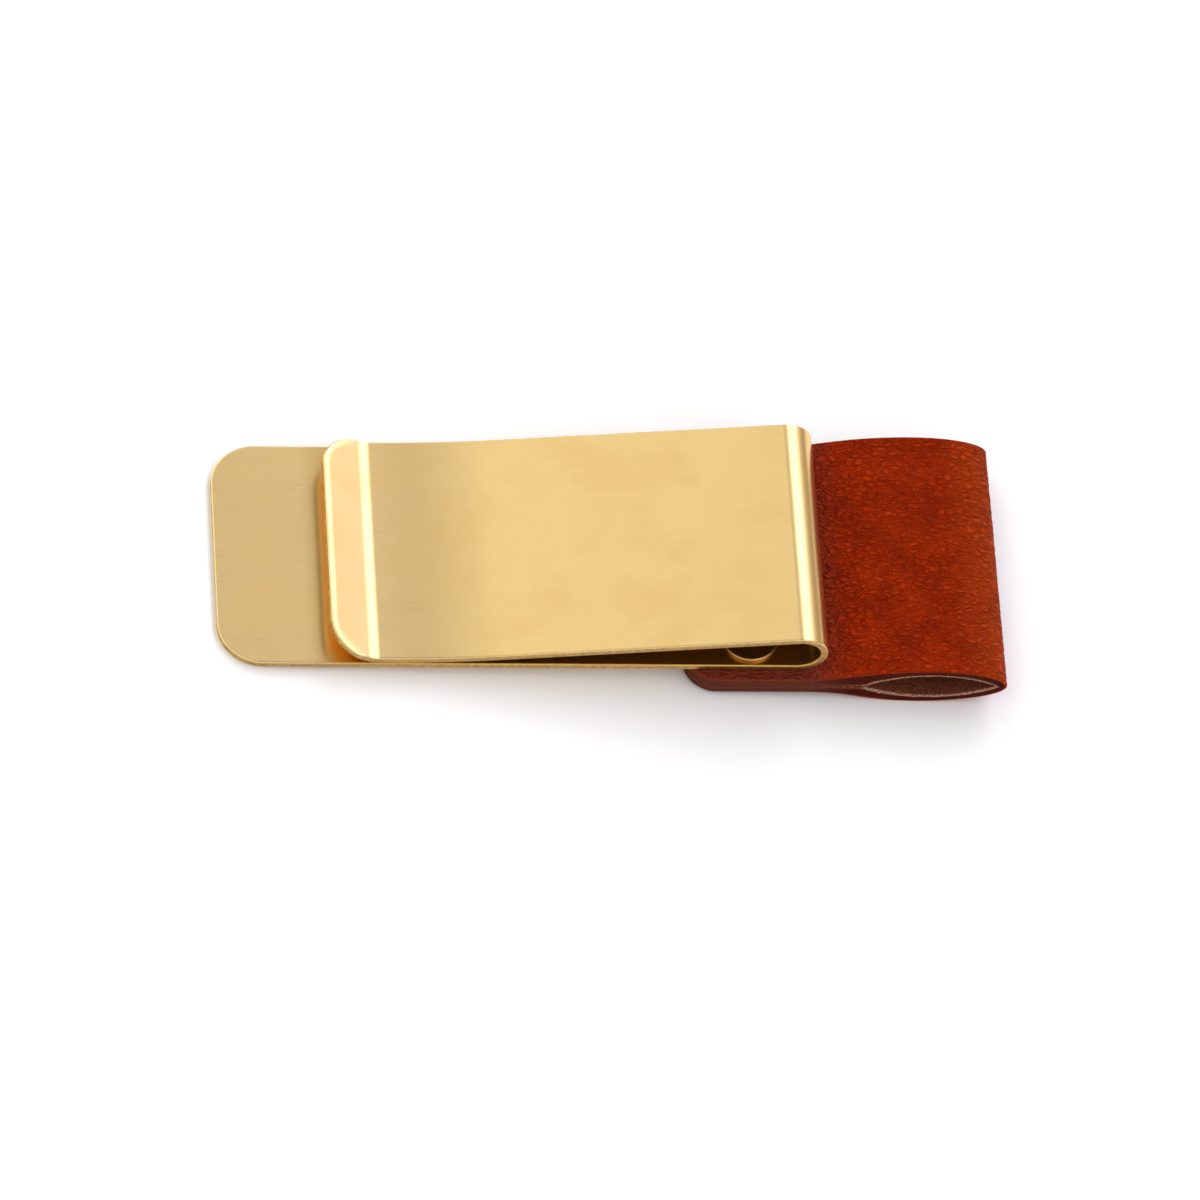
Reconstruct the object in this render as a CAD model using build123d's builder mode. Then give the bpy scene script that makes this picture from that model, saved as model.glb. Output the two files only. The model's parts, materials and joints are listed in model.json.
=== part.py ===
"""Folded brass spring clip with a flared lip, and a leather pen loop riveted under its back leaf.

Millimetres. The clip is drawn lying level in its own side view: x runs along the clip from the
free end of the back leaf, y up from the back leaf's upper surface. That drawing is then tipped
by the small angle at which the real clip lies on a table, on the end of its back leaf and on
the belly of its leather loop. The part's origin is at the bottom centre of its box, +Z up.
"""

import os
from math import asin, atan, atan2, cos, degrees, hypot, radians, sin, tan

from build123d import *

# ---- driving dimensions -------------------------------------------------------------------

# brass strip
strip_width = 20.0
strip_thickness = 0.65
back_leaf_length = 45.4  # free end to the centre of the fold
back_corner_radius = 3.6
fold_inner_radius = 1.63

# front leaf
tongue = 8.8  # bare back leaf beyond the tip of the lip
touch_run = 9.1  # lip tip to where the leaf's slope would meet the back leaf
ease = 4.6  # length each side of that point over which the leaf levels out
lip_angle = 24.5
lip_length = 3.1  # straight part of the lip
lip_corner_radius = 2.9
crease_radius = 2.4  # inside the bend at the foot of the lip
closing_gap = 0.05  # between the leaves where they close

# leather strap
strap_thickness = 0.92
strap_overhang = 0.9  # beyond each edge of the brass
strap_tail = 8.7  # strap end to the centre of the fold
strap_corner_radius = 2.6
layer_gap = 0.04  # between the two layers under the rivets

# pen loop, measured from the centre of the fold
lift_off = 0.8  # where the strap leaves the back leaf
mouth_start = 5.5
mouth_end = 15.9
mouth_height = 2.75
mouth_drop = 1.45  # middle of the mouth, below the back leaf's upper surface
crown_run = 10.5  # highest point of the loop
belly_run = 9.9  # lowest point of the loop

# rivets
rivet_setback = 3.6  # from the centre of the fold
rivet_edge = 2.6  # from the edge of the brass
head_radius = 2.3
head_thickness = 0.35
head_edge = 0.12
shank_radius = 1.1
shank_bore_radius = 0.6
bore_roof = 0.5  # metal left above the bore, below the head's top
hole_clearance = 0.05
cap_radius = 2.3
cap_height = 0.4
cap_rim = 0.15  # upright rim of the domed cap
peg_clearance = 0.02
peg_length = 1.5

# ---- derived places in the side view ------------------------------------------------------

half_width = strip_width / 2
strap_half_width = half_width + strap_overhang
fold_x = back_leaf_length
fold_y = fold_inner_radius
fold_outer_radius = fold_inner_radius + strip_thickness

# the leaf's lower face runs tangent to the inside of the fold, down to the touching point
touch_x = tongue + touch_run
to_fold_x = fold_x - touch_x
to_fold_y = fold_y - closing_gap
leaf_slope = atan2(to_fold_y, to_fold_x) + asin(fold_inner_radius / hypot(to_fold_x, to_fold_y))
leaf_down = Vector(-cos(leaf_slope), -sin(leaf_slope))
leaf_start = Vector(fold_x, fold_y) + Vector(-sin(leaf_slope), cos(leaf_slope)) * fold_inner_radius
leaf_run = (leaf_start - Vector(touch_x, closing_gap)).length - ease
ease_radius = ease / tan(leaf_slope / 2)
lip_foot_x = tongue + lip_length * cos(radians(lip_angle)) + crease_radius * sin(radians(lip_angle))

# leather
strap_top = -strip_thickness
seam_top = strap_top - strap_thickness
seam_bottom = seam_top - layer_gap
strap_bottom = seam_bottom - strap_thickness
strap_end_x = fold_x - strap_tail
lift_x = fold_x + lift_off
mouth_left_x = fold_x + mouth_start
mouth_right_x = fold_x + mouth_end
mouth_top = -mouth_drop + mouth_height / 2
mouth_bottom = -mouth_drop - mouth_height / 2
crown = (fold_x + crown_run, mouth_top + strap_thickness)
belly = (fold_x + belly_run, mouth_bottom - strap_thickness)
nose_x = mouth_right_x + strap_thickness

# rivets
rivet_x = fold_x - rivet_setback
rivet_y = half_width - rivet_edge
hole_radius = shank_radius + hole_clearance
bore_end = head_thickness - bore_roof
peg_radius = shank_bore_radius - peg_clearance
cap_bottom = strap_bottom - cap_height


# ---- profiles -----------------------------------------------------------------------------


def loop_back():
    """Top of the strap, from its end along the back leaf, up over the crown and down to the nose."""
    reach = crown[0] - lift_x
    Line((strap_end_x, strap_top), (lift_x, strap_top))
    Bezier(
        (lift_x, strap_top),
        (lift_x + 0.17 * reach, strap_top),
        (crown[0] - 0.56 * reach, crown[1]),
        crown,
    )
    crown_height = crown[1] + mouth_drop
    EllipticalCenterArc((crown[0], -mouth_drop), nose_x - crown[0], crown_height, 0, arc_size=90)


def loop_belly():
    """Underside of the loop, from the nose by the belly back to the riveted layers."""
    reach = belly[0] - lift_x
    keel_depth = -belly[1] - mouth_drop
    EllipticalCenterArc((belly[0], -mouth_drop), nose_x - belly[0], keel_depth, 270, arc_size=90)
    Bezier(
        belly,
        (belly[0] - 0.5 * reach, belly[1]),
        (lift_x + 0.45 * reach, strap_bottom),
        (lift_x, strap_bottom),
    )


def mouth():
    """The lens-shaped way through the loop, and the seam from it to the strap's two ends."""
    middle = (mouth_left_x + mouth_right_x) / 2
    seam_tip_top = (mouth_left_x, seam_top)
    seam_tip_bottom = (mouth_left_x, seam_bottom)
    fold_line = (mouth_right_x, -mouth_drop)
    Line((strap_end_x, seam_bottom), seam_tip_bottom)
    ThreePointArc(seam_tip_bottom, (middle, mouth_bottom), fold_line)
    ThreePointArc(fold_line, (middle, mouth_top), seam_tip_top)
    Line(seam_tip_top, (strap_end_x, seam_top))


# ---- how the clip lies on a table ---------------------------------------------------------

with BuildLine() as underside:
    loop_belly()
    ThreePointArc(
        (rivet_x - cap_radius, strap_bottom - cap_rim),
        (rivet_x, cap_bottom),
        (rivet_x + cap_radius, strap_bottom - cap_rim),
    )
low_points = [edge @ (step / 400) for edge in underside.edges() for step in range(401)]
tilt = max(atan((strap_top - p.Y) / p.X) for p in low_points)
half_length = max(p.X * cos(tilt) - p.Y * sin(tilt) for p in low_points) / 2

rest_x = (cos(tilt), 0, sin(tilt))
rest_up = (-sin(tilt), 0, cos(tilt))
corner = Vector(-half_length, 0, strip_thickness * cos(tilt))
clip_top = Plane(origin=corner, x_dir=rest_x, z_dir=rest_up)  # the back leaf's upper surface
side = Plane(origin=corner, x_dir=rest_x, z_dir=(0, -1, 0))  # the side view

# ---- brass strip, in three lengths ------------------------------------------------------------

with BuildPart() as back_leaf:
    with BuildSketch(clip_top.offset(-strip_thickness)):
        with Locations((fold_x / 2, 0)):
            Rectangle(fold_x, strip_width)
    extrude(amount=strip_thickness)
    ends = back_leaf.edges().filter_by(Axis(corner, rest_up)).group_by(Axis(corner, rest_x))[0]
    fillet(ends, back_corner_radius)
    with Locations(clip_top.location):
        with Locations((rivet_x, rivet_y), (rivet_x, -rivet_y)):
            Hole(hole_radius, depth=strip_thickness)

with BuildPart() as fold_spring:
    with BuildSketch(side):
        with BuildLine():
            turn = 180 + degrees(leaf_slope)
            outside = CenterArc((fold_x, fold_y), fold_outer_radius, -90, turn)
            inside = CenterArc((fold_x, fold_y), fold_inner_radius, -90, turn)
            Line(outside @ 0, inside @ 0)
            Line(outside @ 1, inside @ 1)
        make_face()
    extrude(amount=half_width, both=True)

with BuildPart() as front_leaf:
    with BuildSketch(side):
        with BuildLine():
            slope = Line(leaf_start, leaf_start + leaf_down * leaf_run)
            level_out = JernArc(slope @ 1, leaf_down, ease_radius, -degrees(leaf_slope))
            level = Line(level_out @ 1, (lip_foot_x, closing_gap))
            crease = JernArc(level @ 1, (-1, 0), crease_radius + strip_thickness, -lip_angle)
            Line(crease @ 1, crease @ 1 + (crease % 1) * lip_length)
            offset(amount=strip_thickness, side=Side.RIGHT)
        make_face()
    extrude(amount=half_width, both=True)
    tip = front_leaf.faces().sort_by(Axis(corner, rest_x))[0]
    fillet(tip.edges().filter_by(Axis.Y, reverse=True), lip_corner_radius)

# ---- leather pen loop ---------------------------------------------------------------------

with BuildPart() as pen_loop:
    with BuildSketch(side):
        with BuildLine():
            loop_back()
            loop_belly()
            Line((lift_x, strap_bottom), (strap_end_x, strap_bottom))
            Line((strap_end_x, strap_bottom), (strap_end_x, seam_bottom))
            mouth()
            Line((strap_end_x, seam_top), (strap_end_x, strap_top))
        make_face()
    extrude(amount=strap_half_width, both=True)
    tail_ends = pen_loop.edges().filter_by(Axis(corner, rest_up)).group_by(Axis(corner, rest_x))[0]
    fillet(tail_ends, strap_corner_radius)
    with Locations(clip_top.offset(strap_top).location):
        with Locations((rivet_x, rivet_y), (rivet_x, -rivet_y)):
            Hole(hole_radius, depth=strap_top - strap_bottom)

# ---- rivets ---------------------------------------------------------------------------------


def rivet_plane(across):
    """Upright plane through a rivet's axis, its origin on the back leaf's upper surface."""
    return Plane(origin=clip_top.from_local_coords((rivet_x, across, 0)), x_dir=rest_x, z_dir=(0, -1, 0))


sides = {"near": -rivet_y, "far": rivet_y}
rivets = []
for name, across in sides.items():
    upright = rivet_plane(across)
    axis = Axis(upright.origin, rest_up)

    with BuildPart() as post:
        with BuildSketch(upright):
            with BuildLine():
                Polyline(
                    (0, head_thickness),
                    (head_radius, head_thickness),
                    (head_radius, 0),
                    (shank_radius, 0),
                    (shank_radius, strap_bottom),
                    (shank_bore_radius, strap_bottom),
                    (shank_bore_radius, bore_end),
                    (0, bore_end),
                    close=True,
                )
            make_face()
        revolve(axis=axis)
        fillet(post.faces().sort_by(axis)[-1].edges(), head_edge)

    with BuildPart() as cap:
        with BuildSketch(upright):
            with BuildLine():
                Polyline(
                    (0, cap_bottom),
                    (0, strap_bottom + peg_length),
                    (peg_radius, strap_bottom + peg_length),
                    (peg_radius, strap_bottom),
                    (cap_radius, strap_bottom),
                    (cap_radius, strap_bottom - cap_rim),
                )
                TangentArc((0, cap_bottom), (cap_radius, strap_bottom - cap_rim), tangent=(1, 0))
            make_face()
        revolve(axis=axis)

    rivets += [(f"rivet_post_{name}", post), (f"rivet_cap_{name}", cap)]

# ---- export -----------------------------------------------------------------------------------

os.makedirs("parts", exist_ok=True)
pieces = [
    ("back_leaf", back_leaf),
    ("fold_spring", fold_spring),
    ("front_leaf", front_leaf),
    ("pen_loop", pen_loop),
] + rivets
for node, piece in pieces:
    piece.part.label = node
    export_step(piece.part, f"parts/{node}.step")

fold_centre = clip_top.from_local_coords((fold_x, 0, fold_y))
print(f"rest tilt {degrees(tilt):.4f} deg, leaf slope {degrees(leaf_slope):.4f} deg")
print(f"fold centre {fold_centre.X:.4f} {fold_centre.Y:.4f} {fold_centre.Z:.4f}")
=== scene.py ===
"""Brass spring clip with a leather pen loop riveted under it.

Every piece is a surface worked out in the clip's own level frame, in metres: x runs along the clip
from the free end of the back leaf to the fold, y across the strip and z up from the back leaf's
upper surface. `to_row` then tips that frame to the angle at which the clip lies on a table.
"""

import json
import math

import bpy
import numpy as np
from bpy.props import FloatProperty, FloatVectorProperty, PointerProperty
from bpy.types import Operator, Panel, PropertyGroup
from mathutils import Matrix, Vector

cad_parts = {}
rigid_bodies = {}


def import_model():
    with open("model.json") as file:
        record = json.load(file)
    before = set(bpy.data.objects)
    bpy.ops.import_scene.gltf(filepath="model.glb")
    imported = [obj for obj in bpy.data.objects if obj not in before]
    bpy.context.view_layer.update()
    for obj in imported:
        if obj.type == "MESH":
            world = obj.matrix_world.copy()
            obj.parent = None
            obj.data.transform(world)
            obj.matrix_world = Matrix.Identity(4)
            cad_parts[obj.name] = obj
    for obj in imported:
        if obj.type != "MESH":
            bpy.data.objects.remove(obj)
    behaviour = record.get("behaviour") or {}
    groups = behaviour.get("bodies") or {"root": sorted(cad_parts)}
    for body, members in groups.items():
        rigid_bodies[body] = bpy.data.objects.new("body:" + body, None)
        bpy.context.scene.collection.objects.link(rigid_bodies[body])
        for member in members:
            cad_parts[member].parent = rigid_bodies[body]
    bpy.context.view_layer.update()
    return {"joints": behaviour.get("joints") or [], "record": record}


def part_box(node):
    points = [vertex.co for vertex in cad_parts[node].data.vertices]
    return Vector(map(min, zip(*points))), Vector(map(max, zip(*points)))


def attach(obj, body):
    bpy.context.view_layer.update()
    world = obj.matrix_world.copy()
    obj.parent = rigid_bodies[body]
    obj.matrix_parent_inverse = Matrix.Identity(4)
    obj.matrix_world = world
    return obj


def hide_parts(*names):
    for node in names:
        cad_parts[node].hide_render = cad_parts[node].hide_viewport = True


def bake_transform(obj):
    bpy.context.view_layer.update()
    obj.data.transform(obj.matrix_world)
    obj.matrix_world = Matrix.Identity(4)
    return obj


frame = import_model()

bl_info = {
    "name": "Brass Clip With Pen Loop",
    "version": (1, 0, 0),
    "blender": (4, 5, 0),
    "location": "View3D > Sidebar > Clip",
    "description": "Builds a folded brass spring clip, its leather pen loop and its rivets",
    "category": "Object",
}

MM = 0.001
HINGE = frame["joints"][0]
FIXED_BODY, MOVING_BODY = HINGE["parent"], HINGE["child"]
FOLD_CENTRE = np.array(HINGE["pos_m"])
NOTE_SLOT = next(mount for mount in frame["record"]["mounts"] if mount["name"] == "note_slot")

ALONG = -np.array(NOTE_SLOT["axis"])
ACROSS = np.array((0.0, 1.0, 0.0))
UP = np.cross(ALONG, ACROSS)

FOLD_LOW, FOLD_HIGH = (np.array(corner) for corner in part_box("fold_spring"))
LOOP_LOW, LOOP_HIGH = (np.array(corner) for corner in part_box("pen_loop"))
STRIP_WIDTH = FOLD_HIGH[1] - FOLD_LOW[1]
STRAP_WIDTH = LOOP_HIGH[1] - LOOP_LOW[1]
FOLD_OUTER_RADIUS = FOLD_HIGH[0] - FOLD_CENTRE[0]

# how finely the surfaces are divided
ROUNDING_POINTS = 9
CORNER_ROWS = 28
LINE_POINTS = 1500
WALL_POINTS = 4
TURNED_POINTS = 96

# the swells' random slopes repeat after this many
SWELL_TILE = 67

# the light's panels: lean from overhead towards +x in degrees, then red, green and blue
TENT = (
    (-90, 0.2, 0.2, 0.2), (-60, 0.45, 0.45, 0.45), (-38, 0.65, 0.65, 0.65),
    (-13, 0.4625, 0.4625, 0.4625), (-4, 0.375, 0.375, 0.375), (0, 0.0125, 0.0125, 0.01),
    (7, 0.0125, 0.0125, 0.01), (10, 0.35, 0.35, 0.4), (14, 1.05, 1.075, 1.325),
    (32, 1.1, 1.125, 1.425), (42, 0.85, 0.875, 1.1), (50, 0.475, 0.4875, 0.65),
    (56, 0.325, 0.3, 0.3375), (66, 0.2125, 0.18, 0.15), (90, 0.125, 0.105, 0.085),
)
# the light's level by how far a direction points towards +y
DEPTH = (
    (-1.0, 0.22), (0.0, 0.26), (0.3, 0.4), (0.52, 0.5), (0.64, 0.52), (0.8, 0.2), (0.9, 0.1), (1.0, 0.08),
)
LIGHT_STRENGTH = 8.0


# ---- sizes, finishes and light that a user would change ----


def length(name, description, millimetres):
    """A length property, given here in millimetres and held in metres."""
    return FloatProperty(
        name=name, description=description, default=millimetres * MM, min=0.0, precision=5, unit="LENGTH"
    )


def angle(name, description, degrees):
    """An angle property, given here in degrees."""
    return FloatProperty(name=name, description=description, default=math.radians(degrees), subtype="ANGLE")


def share(name, description, value):
    """A plain number that isn't negative."""
    return FloatProperty(name=name, description=description, default=value, min=0.0)


def tone(name, description, red, green, blue):
    """A colour property, given here in the 0 to 255 numbers of a screen and held in linear light."""
    screen = np.array((red, green, blue)) / 255
    linear = np.where(screen <= 0.04045, screen / 12.92, ((screen + 0.055) / 1.055) ** 2.4)
    return FloatVectorProperty(
        name=name, description=description, default=[float(v) for v in linear], subtype="COLOR", min=0, max=1
    )


class BRASSCLIP_PG_strip(PropertyGroup):
    """Sizes and finish of the brass strip."""

    width: length("Width", "Width of the strip", STRIP_WIDTH / MM)
    thickness: length("Thickness", "Thickness of the strip", 0.65)
    edge: length("Edge Rounding", "Radius left on the strip's edges by tumbling", 0.12)
    fold_radius: length("Fold Radius", "Outside radius of the fold", FOLD_OUTER_RADIUS / MM)
    back_length: length("Back Leaf Length", "Free end of the back leaf to the fold's centre", 45.4)
    back_corner: length("Back Corner", "Corner radius of the back leaf", 3.6)
    tongue: length("Tongue", "Bare back leaf beyond the tip of the lip", 8.8)
    touch_run: length("Touch Run", "Lip tip to where the leaf's slope meets the back leaf", 9.1)
    ease: length("Ease", "Length each side of that point over which the leaf levels out", 4.6)
    lip_angle: angle("Lip Angle", "Upward angle of the lip", 24.5)
    lip_length: length("Lip Length", "Straight part of the lip", 3.1)
    lip_corner: length("Lip Corner", "Corner radius of the lip", 2.9)
    crease: length("Crease Radius", "Inside radius of the bend at the foot of the lip", 2.4)
    lip_softening: length("Lip Softening", "Width of the band rounded off along the lip's edge", 0.55)
    softening_radius: length("Softening Radius", "Radius to which that band is rounded", 1.7)
    closing_gap: length("Closing Gap", "Gap between the leaves where they close", 0.05)
    brass: tone("Brass", "Colour of the brushed faces", 244, 210, 140)
    brass_deep: tone("Deep Brass", "Colour of the duller patches", 234, 194, 122)
    brass_cut: tone("Cut Brass", "Colour of the sheared edges", 176, 140, 88)
    # painted shade: a deeper brown tone inside the clip and on the back leaf from just before the lip,
    # standing in for the shade between the leaves and the lip's reflection
    brass_painted_shade: tone("Inner Brass", "Colour of the faces that polish doesn't reach", 214, 168, 78)
    roughness: share("Roughness", "Roughness of the brushed faces", 0.28)


class BRASSCLIP_PG_strap(PropertyGroup):
    """Sizes and finish of the leather strap and its loop."""

    width: length("Width", "Width of the strap", STRAP_WIDTH / MM)
    thickness: length("Thickness", "Thickness of the leather", 0.92)
    edge: length("Edge Rounding", "Radius of the worn edges", 0.16)
    tail: length("Tail", "Strap end to the fold's centre", 8.7)
    corner: length("Tail Corner", "Corner radius of the strap's two ends", 2.6)
    layer_gap: length("Layer Gap", "Gap between the two layers", 0.04)
    lift_off: length("Lift Off", "Fold's centre to where the strap leaves the back leaf", 0.8)
    mouth_start: length("Mouth Start", "Fold's centre to the near end of the mouth", 5.5)
    mouth_end: length("Mouth End", "Fold's centre to the far end of the mouth", 15.9)
    mouth_height: length("Mouth Height", "Height of the mouth", 2.75)
    mouth_drop: length("Mouth Drop", "Middle of the mouth below the back leaf's upper surface", 1.45)
    crown_run: length("Crown Run", "Fold's centre to the highest point of the loop", 10.5)
    belly_run: length("Belly Run", "Fold's centre to the lowest point of the loop", 9.9)
    grain_length: length("Grain Length", "Length of one swell of the grain, along the strap", 0.9)
    grain_width: length("Grain Width", "Width of one swell of the grain", 0.44)
    grain_depth: length("Grain Depth", "Depth from the tops to the creases", 0.08)
    grain_tone: tone("Grain", "Colour of the grain side", 170, 47, 3)
    # painted shade in the creases; also a darker tone in the leather's mottling and the cut edge's fibres
    dark_tone_and_crease_shade: tone("Creases", "Colour in the creases", 90, 12, 2)
    # painted glints on the tops of the grain
    painted_glint_tone: tone("Rubbed Grain", "Colour of the rubbed tops of the grain", 214, 96, 52)
    # painted light: the paler, more orange leather round the nose, where the light from the right falls
    painted_nose_light_tone: tone("Pulled Leather", "Colour where the leather is pulled round the nose", 198, 80, 22)
    cut_tone: tone("Cut Edge", "Colour of the stained cut edge", 72, 28, 16)
    # painted shade: the strap's tail beside the rivets, under the brass's edge
    painted_tail_shade_tone: tone("Tail", "Colour of the strap's dulled edges beside the rivets", 108, 58, 42)
    fibre_tone: tone("Fibre", "Colour of the raw fibre along the mouth's rim", 222, 172, 146)
    flesh_tone: tone("Flesh Side", "Colour of the flesh side", 146, 84, 54)


class BRASSCLIP_PG_rivets(PropertyGroup):
    """Sizes and finish of the rivets."""

    setback: length("Setback", "Rivet to the fold's centre", 3.6)
    from_edge: length("From Edge", "Rivet to the edge of the brass", 2.6)
    head_radius: length("Head Radius", "Radius of the post's head", 2.3)
    head_thickness: length("Head Thickness", "Thickness of the post's head", 0.35)
    head_edge: length("Head Edge", "Rounding of the head's rim", 0.12)
    shank_radius: length("Shank Radius", "Radius of the post's shank", 1.1)
    bore_radius: length("Bore Radius", "Radius of the shank's bore", 0.6)
    bore_roof: length("Bore Roof", "Metal left above the bore", 0.5)
    cap_radius: length("Cap Radius", "Radius of the cap", 2.3)
    cap_height: length("Cap Height", "Height of the domed cap", 0.4)
    cap_rim: length("Cap Rim", "Upright rim of the cap", 0.15)
    peg_radius: length("Peg Radius", "Radius of the cap's peg", 0.58)
    peg_length: length("Peg Length", "Length of the cap's peg", 1.5)
    # painted shade: the rivets' brass is darker than the strip's, standing in for the shade between the
    # leaves
    brass: tone("Rivet Brass", "Colour of the rivets", 172, 130, 62)
    # painted highlight on the posts' rims, and wear on the caps' domes
    highlight_and_worn_brass: tone("Worn Brass", "Colour of the rivets' worn rims and domes", 220, 176, 112)


class BRASSCLIP_PG_stage(PropertyGroup):
    """Camera, floor and light."""

    azimuth: angle("Azimuth", "Turn of the camera about the clip, from straight in front", -13.218)
    elevation: angle("Elevation", "Height of the camera above the clip's own plane", 57.6)
    roll: angle("Roll", "Roll of the camera", 11.648)
    distance: length("Distance", "Camera to the point it looks at", 791.97)
    focal_length: share("Focal Length", "Focal length on a 36 mm sensor, in millimetres", 303.18)
    aim_along: length("Aim Along", "Point looked at, along the clip", 30.202)
    aim_across: length("Aim Across", "Point looked at, towards the front", 4.0534)
    light: share("Light", "Strength of the whole studio light", 1.0)
    floor: tone("Floor", "Colour of the floor", 255, 253, 240)


# ---- clip frame to row frame, and meshes ----


def corner_point():
    """Where the clip's own frame has its zero: below the fold's centre by the fold's inside radius,
    and back along the strip by the back leaf's length."""
    strip = bpy.context.scene.clip_strip
    inside = strip.fold_radius - strip.thickness
    return FOLD_CENTRE - strip.back_length * ALONG - inside * UP


def to_row(x, y, z):
    """Points of the clip's own frame, given as three arrays or numbers, as points of the row frame."""
    x, y, z = np.broadcast_arrays(x, y, z)
    return corner_point() + x[..., None] * ALONG + y[..., None] * ACROSS + z[..., None] * UP


def new_piece(name, vertices, faces, material, body, node, sharp=50):
    """Puts a surface into a mesh object, shades it smooth up to the sharp angle, and ties it to the frame."""
    mesh = bpy.data.meshes.new(name)
    mesh.from_pydata(vertices.reshape(-1, 3), [], faces)
    mesh.shade_smooth()
    mesh.set_sharp_from_angle(angle=math.radians(sharp))
    mesh.materials.append(material)
    piece = bpy.data.objects.new(name, mesh)
    bpy.context.scene.collection.objects.link(piece)
    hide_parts(node)
    if body:
        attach(piece, body)
    return piece


def paint(piece, name, values):
    """Stores one number per vertex, or one vector where the values have a third axis, for the
    piece's material to read."""
    values = np.asarray(values, dtype=np.float32)
    is_vector = values.ndim > 2
    layer = piece.data.attributes.new(name, "FLOAT_VECTOR" if is_vector else "FLOAT", "POINT")
    layer.data.foreach_set("vector" if is_vector else "value", values.reshape(-1))


def ring_faces(rings, around):
    """Four-sided faces between neighbouring closed rings of points, facing outwards where each ring
    runs along +y on the side that the path's normal points to."""
    ring, point = np.meshgrid(np.arange(rings - 1), np.arange(around), indexing="ij")
    here, following = ring * around, (ring + 1) * around
    after = (point + 1) % around
    return np.stack([here + point, here + after, following + after, following + point], -1).reshape(-1, 4)


def end_faces(rings, around):
    """Two flat ends for a tube whose rings hold an upper row and then the same row backwards."""
    half = around // 2
    point = np.arange(half - 1)
    upper, lower = point, around - 1 - point
    first = np.stack([upper, lower, lower - 1, upper + 1], -1)
    last = first[:, ::-1] + (rings - 1) * around
    return np.concatenate([first, last])


# ---- paths and outlines ----


def along_path(start, heading, runs, distance):
    """Points and headings at the given distances along a line of straight and evenly curved runs.

    Each run is (its length, the angle that it turns through). On a straight run a point is the
    run's start plus the distance gone times the heading. On a curved one with radius r, length over
    angle, it is the start plus r times (sine now - sine at the start, cosine at the start - cosine now).
    """
    x, z, facing = (np.zeros_like(distance) for _ in range(3))
    at = np.array(start, dtype=float)
    gone = 0.0
    for run, turn in runs:
        inside = distance >= gone - 1e-12
        into = distance[inside] - gone
        now = heading + turn * into / run
        if turn:
            radius = run / turn
            x[inside] = at[0] + radius * (np.sin(now) - math.sin(heading))
            z[inside] = at[1] + radius * (math.cos(heading) - np.cos(now))
            step = radius * np.array(
                (math.sin(heading + turn) - math.sin(heading), math.cos(heading) - math.cos(heading + turn))
            )
        else:
            x[inside] = at[0] + into * math.cos(heading)
            z[inside] = at[1] + into * math.sin(heading)
            step = run * np.array((math.cos(heading), math.sin(heading)))
        facing[inside] = now
        at, heading, gone = at + step, heading + turn, gone + run
    return x, z, facing


def end_steps(corner, edge, reach, even):
    """Distances in from a rounded end: fine over the edge's rounding, then by equal angles round the
    corner, then in `even` equal steps out to `reach`."""
    quarter = np.linspace(0, math.pi / 2, ROUNDING_POINTS)
    rounding = edge * (1 - np.cos(quarter))
    start = math.acos(1 - 1.3 * edge / corner)
    round_corner = corner * (1 - np.cos(np.linspace(start, math.pi / 2, CORNER_ROWS)))
    straight = np.linspace(corner, reach, even + 1)[1:]
    return np.concatenate([rounding, round_corner, straight])


def face_rows(from_end, half_width, corner, edge, inner):
    """One face of a strip with a round-cornered end and rounded edges, row by row.

    At a distance d from the end the outline is half the width, less the corner radius r, plus
    the root of r squared less (r - d) squared. A point's depth inside the outline is r less the
    length of the vector (r - d, |y| - half the width + r), each part not under 0. The face drops
    towards the outline as a quarter circle of the edge's radius. Returns y, drop and depth.
    """
    short = np.clip(corner - from_end, 0, None)[:, None]
    rim = half_width - corner + np.sqrt(corner**2 - short**2)
    flat = half_width - corner + np.sqrt(np.clip((corner - edge) ** 2 - short**2, 0, None))
    band = np.maximum(rim - flat, edge)
    steps = 1 - np.cos(np.linspace(0, math.pi / 2, ROUNDING_POINTS))
    side = rim - band * np.append(steps, 1.25)[None, :]
    middle = side[:, -1:] * np.linspace(-1, 1, inner + 2)[None, 1:-1]
    y = np.concatenate([-side, middle, side[:, ::-1]], axis=1)
    outside = np.clip(np.abs(y) - half_width + corner, 0, None)
    depth = corner - np.hypot(np.broadcast_to(short, y.shape), outside)
    depth = np.clip(depth, 0, None)
    drop = edge - np.sqrt(np.clip(edge**2 - (edge - np.minimum(depth, edge)) ** 2, 0, None))
    return y, drop, depth


def smooth_step(value, low, high):
    """0 at or under low, 1 at or over high, and 3t^2 - 2t^3 of the share t between them."""
    t = np.clip((value - low) / (high - low), 0, 1)
    return t * t * (3 - 2 * t)


def painted_shade_below(x):
    """Painted shade on the lower face and none on the upper one, at every place along the clip."""
    return 0 * x, 0 * x + 1


def two_sided(over, below):
    """Rings of values: an upper row, and then a lower row backwards."""
    return np.concatenate([over, below[:, ::-1]], axis=1)


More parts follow.
